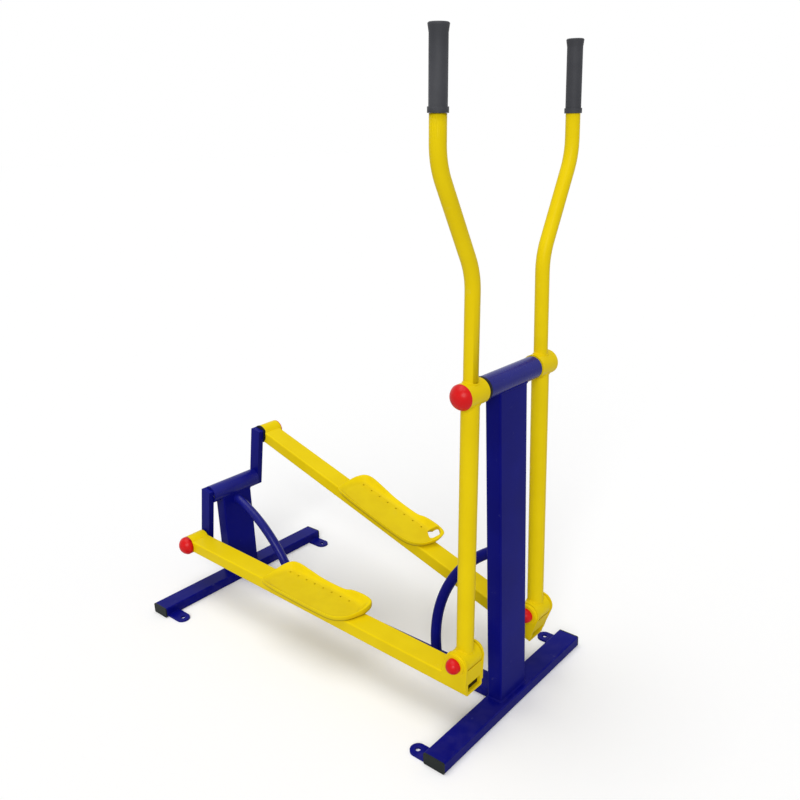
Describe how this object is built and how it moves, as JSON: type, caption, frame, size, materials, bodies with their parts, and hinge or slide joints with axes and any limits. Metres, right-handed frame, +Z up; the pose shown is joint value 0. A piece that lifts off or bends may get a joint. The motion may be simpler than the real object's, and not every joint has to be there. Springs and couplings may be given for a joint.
{
  "type": "outdoor air walker",
  "caption": "Free-standing outdoor cross trainer: swing levers with grips hinged to foot beams with trays, driven round by a rear crank on a tube stand.",
  "frame": {"origin": "on the floor, straight below the lever axle, in the machine's middle plane", "axes": "+X forward from the crank to the levers, +Y to the walker's left, +Z up"},
  "size_m": [1.1865, 0.645, 1.5881],
  "materials": {
    "frame_paint": "gloss blue powder coat",
    "lever_paint": "gloss yellow powder coat",
    "tray_paint": "yellow powder coat on a fine-grained casting",
    "cap_plastic": "moulded red plastic",
    "grip_rubber": "moulded black rubber, matte",
    "seal_rubber": "black rubber",
    "plug_plastic": "black moulded plastic",
    "steel": "zinc-plated steel",
    "bush_bronze": "plain bronze"
  },
  "bodies": {
    "stand": {"front_foot": "frame_paint", "rear_foot": "frame_paint", "base_beam": "frame_paint", "front_post": "frame_paint", "rear_post": "frame_paint", "front_brace": "frame_paint", "rear_brace": "frame_paint", "axle_housing": "frame_paint", "axle_collars": "steel", "crank_housing": "frame_paint", "front_anchor_lugs": "frame_paint", "rear_anchor_lugs": "frame_paint", "foot_end_plugs": "plug_plastic", "lever_axle": "steel", "axle_nuts": "steel", "crank_bearings": "steel"},
    "crank": {"crank_shaft": "steel", "right_crank_arm": "frame_paint", "left_crank_arm": "frame_paint"},
    "right_lever": {"right_lever_hub": "lever_paint", "right_lower_tube": "lever_paint", "right_handle_tube": "lever_paint", "right_grip": "grip_rubber", "right_hub_bearings": "steel", "right_hub_seal": "seal_rubber", "right_hub_cap": "cap_plastic", "right_foot_hub": "lever_paint", "right_foot_bushes": "bush_bronze"},
    "right_beam": {"right_beam_tube": "lever_paint", "right_beam_ears": "lever_paint", "right_pivot_bolt": "steel", "right_pivot_caps": "cap_plastic", "right_crank_hub": "lever_paint", "right_beam_bearings": "steel", "right_crank_pin": "steel", "right_crank_seal": "seal_rubber", "right_crank_cap": "cap_plastic", "right_foot_tray": "tray_paint", "right_tray_bolts": "tray_paint"},
    "left_lever": {"left_lever_hub": "lever_paint", "left_lower_tube": "lever_paint", "left_handle_tube": "lever_paint", "left_grip": "grip_rubber", "left_hub_bearings": "steel", "left_hub_seal": "seal_rubber", "left_hub_cap": "cap_plastic", "left_foot_hub": "lever_paint", "left_foot_bushes": "bush_bronze"},
    "left_beam": {"left_beam_tube": "lever_paint", "left_beam_ears": "lever_paint", "left_pivot_bolt": "steel", "left_pivot_caps": "cap_plastic", "left_crank_hub": "lever_paint", "left_beam_bearings": "steel", "left_crank_pin": "steel", "left_crank_seal": "seal_rubber", "left_crank_cap": "cap_plastic", "left_foot_tray": "tray_paint", "left_tray_bolts": "tray_paint"}
  },
  "joints": [
    {"name": "crank_turn", "type": "hinge", "parent": "stand", "child": "crank", "pos_m": [-1.081, 0, 0.3155], "axis": [0, 1, 0], "range_deg": [0, 90]},
    {"name": "right_lever_swing", "type": "hinge", "parent": "stand", "child": "right_lever", "pos_m": [0, -0.141, 0.863], "axis": [0, 1, 0], "range_deg": [0, 11.39]},
    {"name": "right_beam_hinge", "type": "hinge", "parent": "right_lever", "child": "right_beam", "pos_m": [-0.02741, -0.141, 0.19356], "axis": [0, 1, 0], "range_deg": [-2.83, 0]},
    {"name": "left_lever_swing", "type": "hinge", "parent": "stand", "child": "left_lever", "pos_m": [0, 0.141, 0.863], "axis": [0, 1, 0], "range_deg": [-13.51, 0]},
    {"name": "left_beam_hinge", "type": "hinge", "parent": "left_lever", "child": "left_beam", "pos_m": [-0.0066, 0.141, 0.19303], "axis": [0, 1, 0], "range_deg": [0, 2.93]}
  ],
  "couplings": [
    {"joint": "right_lever_swing", "follows": "crank_turn", "ratio": 0.12654},
    {"joint": "right_beam_hinge", "follows": "crank_turn", "ratio": -0.031452},
    {"joint": "left_lever_swing", "follows": "crank_turn", "ratio": -0.15008},
    {"joint": "left_beam_hinge", "follows": "crank_turn", "ratio": 0.032512}
  ]
}
